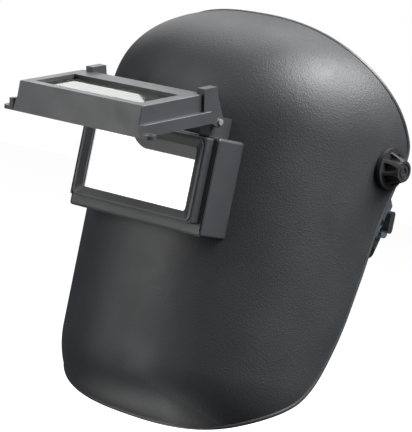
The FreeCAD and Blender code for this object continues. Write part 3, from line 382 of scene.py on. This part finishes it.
def section(height, inset):
    """Half width and forward reach of the shell's superellipse section at a height."""
    if height < DOME_BASE:
        bite = min(1.0, max(0.0, (SKIRT_LOW + CHIN_ROUND - height) / CHIN_ROUND))
        recess = CHIN_RECESS * (1 - math.sqrt(1 - bite * bite))
        return SHELL_HALF_WIDTH - CHIN_NARROWING * recess - inset, SHELL_DEPTH - recess - inset
    rise = min(1.0, (height - DOME_BASE) / (DOME_RISE - inset))
    shrink = (1 - rise ** SHELL_POWER) ** (1 / SHELL_POWER)
    return (SHELL_HALF_WIDTH - inset) * shrink, (SHELL_DEPTH - inset) * shrink


def shell_gap(height, inset):
    """How far the section reaches in front of the rim; zero at the shell's lowest and highest points."""
    return section(height, inset)[1] - (SHELL_CENTRE_Y - rim_y(height))


def rim_end(outside, inside, inset):
    """Halves the span between a height off the shell and one on it until it meets the rim."""
    for _ in range(40):
        middle = (outside + inside) / 2
        if shell_gap(middle, inset) > 0:
            inside = middle
        else:
            outside = middle
    return inside


def shell_rows(rows, columns, inset):
    """Rows of points from rim to rim, closer together towards the top and the chin."""
    low = rim_end(SKIRT_LOW, -0.15, inset)
    high = rim_end(DOME_BASE + DOME_RISE - inset, 0.1, inset)
    made = []
    for step in range(rows + 1):
        height = (low + high) / 2 - (high - low) / 2 * math.cos(math.pi * step / rows)
        across, forward = section(height, inset)
        share = min(1.0, max(0.0, (SHELL_CENTRE_Y - rim_y(height)) / max(forward, 1e-6)))
        start = math.asin(share ** (SHELL_POWER / 2))
        row = []
        for column in range(columns + 1):
            angle = start + (math.pi - 2 * start) * column / columns
            side = math.copysign(abs(math.cos(angle)) ** (2 / SHELL_POWER), math.cos(angle))
            reach = max(0.0, math.sin(angle)) ** (2 / SHELL_POWER)
            row.append(Vector((across * side, SHELL_CENTRE_Y - forward * reach, height)))
        made.append(row)
    return made


def shell_cutter():
    """The window opening and the pivot holes, as one mesh for the boolean."""
    builder = bmesh.new()
    low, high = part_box("window_housing")
    lens_low, lens_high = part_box("clear_lens")
    margin = 3.6 * MM
    size = (lens_high[0] - lens_low[0] + 2 * margin, 0.06, lens_high[2] - lens_low[2] + 2 * margin)
    place = Vector((0.0, low[1] + 0.02, (lens_low[2] + lens_high[2]) / 2))
    bmesh.ops.create_cube(builder, size=1.0, matrix=Matrix.Translation(place) @ Matrix.Diagonal((*size, 1.0)))
    pivot = Vector(visor_pivot)
    turn = Matrix.Rotation(math.pi / 2, 4, "Y")
    bmesh.ops.create_cone(builder, cap_ends=True, segments=64, radius1=4.1 * MM, radius2=4.1 * MM,
                          depth=0.3, matrix=Matrix.Translation(pivot) @ turn)
    mesh = bpy.data.meshes.new("shell_cutter")
    builder.to_mesh(mesh)
    builder.free()
    cutter = bpy.data.objects.new("shell_cutter", mesh)
    bpy.context.scene.collection.objects.link(cutter)
    return cutter


def make_shell():
    """The face shell as one dense smooth skin with thickness, opened for the window and the pivots."""
    mesh = grid_mesh("face_shell", shell_rows(200, 170, 0.0))
    piece = new_piece("face_shell", mesh, "visor", "pebbled_plastic", "shell")
    wall = piece.modifiers.new("wall", "SOLIDIFY")
    wall.thickness = SHELL_WALL
    wall.offset = -1.0
    cutter = shell_cutter()
    holes = piece.modifiers.new("holes", "BOOLEAN")
    holes.operation = "DIFFERENCE"
    holes.solver = "EXACT"
    holes.object = cutter
    smooth(baked(piece), 50)
    dress(piece, "pebbled_plastic")
    bpy.data.objects.remove(cutter)


def rim_loop(inset):
    """The closed line around the shell's edge."""
    rows = shell_rows(150, 2, inset)
    return [row[0] for row in rows] + [row[-1] for row in rows[-2:0:-1]]


def make_rim_bead():
    """The rolled lip: a round tube around the edge of the shell."""
    loop = rim_loop(0.7 * MM)
    tube_radius = 1.75 * MM
    turns = 16
    rows = []
    count = len(loop)
    middle = Vector(RIM_MIDDLE)
    for index, point in enumerate(loop):
        along = (loop[(index + 1) % count] - loop[index - 1]).normalized()
        outward = point - middle
        outward -= along * outward.dot(along)
        outward.normalize()
        beside = along.cross(outward)
        rows.append([point + (outward * math.cos(a) + beside * math.sin(a)) * tube_radius
                     for a in (2 * math.pi * step / turns for step in range(turns))])
    builder = bmesh.new()
    made = [[builder.verts.new(point) for point in row] for row in rows]
    for index in range(count):
        low_row, high_row = made[index], made[(index + 1) % count]
        for step in range(turns):
            after = (step + 1) % turns
            builder.faces.new((low_row[step], low_row[after], high_row[after], high_row[step]))
    bmesh.ops.recalc_face_normals(builder, faces=builder.faces)
    mesh = bpy.data.meshes.new("rim_bead")
    builder.to_mesh(mesh)
    builder.free()
    mesh.shade_smooth()
    # Painted highlight: the bead takes the lid's plastic, lighter than the shell's, to show a bright line along
    # the rim; that plastic is also smoother.
    new_piece("rim_bead", mesh, "visor", "lid_plastic")


make_shell()
make_rim_bead()


# ------------------------------------------------------------------ soft pads

BAND_TILT = math.radians(21.8)
BAND_HALF_WIDTH = 78.0 * MM
BAND_HALF_LENGTH = 98.0 * MM
RACK_CENTRE_Y = 36.0 * MM
NAPE_RADIUS = 55.5 * MM


def from_band(x, y, z):
    """A point of the tilted headband's own frame, in the helmet's frame."""
    lean, flat = math.sin(BAND_TILT), math.cos(BAND_TILT)
    return Vector((x, y * flat + z * lean, -y * lean + z * flat))


def brow_line(share):
    """Along the forehead strap's inner face: the place and its outward direction, in the band frame."""
    angle = math.radians(-153.5 + 127.0 * share)
    place = Vector((BAND_HALF_WIDTH * math.cos(angle), BAND_HALF_LENGTH * math.sin(angle)))
    outward = Vector((math.cos(angle) / BAND_HALF_WIDTH, math.sin(angle) / BAND_HALF_LENGTH)).normalized()
    return place, outward


def nape_line(share):
    """Along the inner face of the ratchet case."""
    angle = math.radians(-33.5 + 67.0 * share)
    outward = Vector((math.sin(angle), math.cos(angle)))
    return Vector((0.0, RACK_CENTRE_Y)) + outward * NAPE_RADIUS, outward


def make_pad(name, node, line, length, half_height, crown, channels):
    """A cloth pad with a crowned face towards the head, a flat back, stitched channels and round ends."""
    columns, ring = 260, 56
    end = 11.0 * MM
    stitch = 3.4 * MM
    rows = []
    for column in range(columns + 1):
        share = column / columns
        place, outward = line(share)
        to_end = min(share, 1.0 - share) * length
        close = math.sqrt(max(0.0, 1.0 - (1.0 - min(1.0, to_end / end)) ** 2))
        tall = half_height - end * (1.0 - close)
        channel = abs(math.sin(math.pi * channels * share))
        quilted = 0.62 + 0.38 * min(1.0, channel * 2.2) ** 0.6
        pucker = 0.05 * math.sin(2.0 * math.pi * share * length / stitch)
        points = []
        for step in range(ring):
            angle = 2.0 * math.pi * step / ring
            height = math.copysign(abs(math.sin(angle)) ** 0.62, math.sin(angle)) * tall
            depth = math.copysign(abs(math.cos(angle)) ** 0.7, math.cos(angle))
            edge = abs(height) / tall
            thickness = crown * quilted * (1.0 + pucker * edge ** 3) if depth > 0.0 else 0.5 * MM
            inset = 0.9 * MM + depth * thickness * (0.25 + 0.75 * close)
            spot = place - outward * inset
            points.append(from_band(spot.x, spot.y, height))
        rows.append(points)
    mesh = grid_mesh(name, rows, closed=True)
    smooth(mesh, 60)
    piece = new_piece(name, mesh, "headgear", "soft_pad", node)


make_pad("brow_cushion", "sweatband", brow_line, 195.0 * MM, 14.6 * MM, 4.4 * MM, 7)
make_pad("nape_cushion", "nape_pad", nape_line, 65.0 * MM, 13.6 * MM, 3.6 * MM, 3)


# ------------------------------------------------------------ camera and studio

AZIMUTH = math.radians(40.0)
ELEVATION = math.radians(2.9)
ROLL = math.radians(11.6)
DISTANCE = 1.5
SIDE_SHIFT = -0.0496
UP_SHIFT = 0.0351
LENS_LENGTH = 183.5
FLOOR_DROP = 0.32
SURROUND = 0.08
PANEL_DIRECTION = (-0.688, 0.622, 0.374)
PANEL_DISTANCE = 1.6
PANEL_ROLL = math.radians(25.0)


def make_camera():
    """Looks at the window from the wearer's left front, leaning over to one side."""
    window_low, window_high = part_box("window_frame")
    target = Vector((0.0, window_low[1], 0.0))
    toward = Vector((math.sin(AZIMUTH) * math.cos(ELEVATION), -math.cos(AZIMUTH) * math.cos(ELEVATION),
                     math.sin(ELEVATION)))
    right = Vector((math.cos(AZIMUTH), math.sin(AZIMUTH), 0.0))
    up = toward.cross(right)
    right_rolled = right * math.cos(ROLL) + up * math.sin(ROLL)
    up_rolled = up * math.cos(ROLL) - right * math.sin(ROLL)
    camera = bpy.data.objects.new("camera", bpy.data.cameras.new("camera"))
    bpy.context.scene.collection.objects.link(camera)
    turn = Matrix((right_rolled, up_rolled, toward)).transposed().to_4x4()
    place = target + toward * DISTANCE - right_rolled * SIDE_SHIFT - up_rolled * UP_SHIFT
    camera.matrix_world = Matrix.Translation(place) @ turn
    camera.data.sensor_fit = "HORIZONTAL"
    camera.data.sensor_width = 36.0
    camera.data.lens = LENS_LENGTH
    camera.data.clip_start = 0.05
    camera.data.clip_end = 50.0
    bpy.context.scene.camera = camera
    return right, up, toward, target


def area_light(name, place, look, width, height, power):
    """A white rectangular light at a place, facing a point; sizes in metres, power in watts."""
    data = bpy.data.lights.new(name, "AREA")
    data.shape = "RECTANGLE"
    data.size = width
    data.size_y = height
    data.energy = power
    light = bpy.data.objects.new(name, data)
    bpy.context.scene.collection.objects.link(light)
    turn = (look - place).to_track_quat("-Z", "Y").to_matrix().to_4x4()
    light.matrix_world = Matrix.Translation(place) @ turn
    return light


def make_world():
    """White behind the object and a dim grey surround for its light and reflections."""
    world = bpy.data.worlds.new("surround")
    world.use_nodes = True
    tree = world.node_tree
    background = tree.nodes["Background"]
    background.inputs["Color"].default_value = (1.0, 1.0, 1.0, 1.0)
    path = tree.nodes.new("ShaderNodeLightPath")
    seen = tree.nodes.new("ShaderNodeMath")
    seen.operation = "MAXIMUM"
    tree.links.new(path.outputs["Is Camera Ray"], seen.inputs[0])
    tree.links.new(path.outputs["Is Transmission Ray"], seen.inputs[1])
    tree.links.new(ramp(tree, seen.outputs[0], SURROUND, 1.0, 0.0, 1.0), background.inputs["Strength"])
    bpy.context.scene.world = world


def make_floor():
    """A wide pale disc below the object, left out of its reflections and bounced light."""
    floor_mesh = bpy.data.meshes.new("floor")
    builder = bmesh.new()
    bmesh.ops.create_circle(builder, cap_ends=True, radius=14.0, segments=96)
    builder.to_mesh(floor_mesh)
    builder.free()
    floor = bpy.data.objects.new("floor", floor_mesh)
    bpy.context.scene.collection.objects.link(floor)
    floor.location = (0.0, 0.0, cad_low[2] - FLOOR_DROP)
    floor.visible_diffuse = False
    floor.visible_glossy = False
    material, tree, shader = new_material("pale_floor")
    shader.inputs["Base Color"].default_value = (0.9, 0.9, 0.9, 1.0)
    shader.inputs["Roughness"].default_value = 0.9
    shader.inputs["Emission Color"].default_value = (1.0, 1.0, 1.0, 1.0)
    shader.inputs["Emission Strength"].default_value = 0.9
    floor_mesh.materials.append(material)


def light_lid_glass():
    """A small panel behind the helmet, at the mirror angle of the raised lid's glass."""
    low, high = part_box("lid_cover_glass")
    glass_centre = (Vector(low) + Vector(high)) / 2
    mirrored = Vector(PANEL_DIRECTION)
    beside = mirrored.cross(Vector((0.0, 0.0, 1.0))).normalized()
    above = beside.cross(mirrored)
    place = glass_centre + mirrored * PANEL_DISTANCE - beside * 0.176 + above * 0.121
    panel = area_light("lid_panel", place, place - mirrored, 0.5, 0.6, 1.9)
    panel.matrix_world = panel.matrix_world @ Matrix.Rotation(PANEL_ROLL, 4, "Z")


def make_studio(right, up, toward, target):
    """A pale floor, a surround, five large soft lights around the object and one panel behind it."""
    make_floor()
    make_world()
    centre = target + Vector((0.0, 0.12, 0.0))
    area_light("key", centre + right * 1.0 + up * 1.9 + toward * 0.6, centre, 1.8, 1.3, 150.0)
    area_light("overhead", centre - right * 0.25 + up * 1.7 - toward * 0.8, centre, 1.4, 0.8, 14.0)
    area_light("left_strip", centre - right * 1.5 + toward * 0.5, centre, 0.5, 2.0, 16.0)
    area_light("right_strip", centre + right * 1.15 + up * 0.9 + toward * 1.25, centre, 0.5, 1.0, 9.5)
    area_light("below", centre - right * 0.7 - up * 1.5, centre, 1.4, 0.8, 14.0)
    light_lid_glass()
    settings = bpy.context.scene.view_settings
    settings.view_transform = "Standard"
    settings.look = "None"


make_studio(*make_camera())
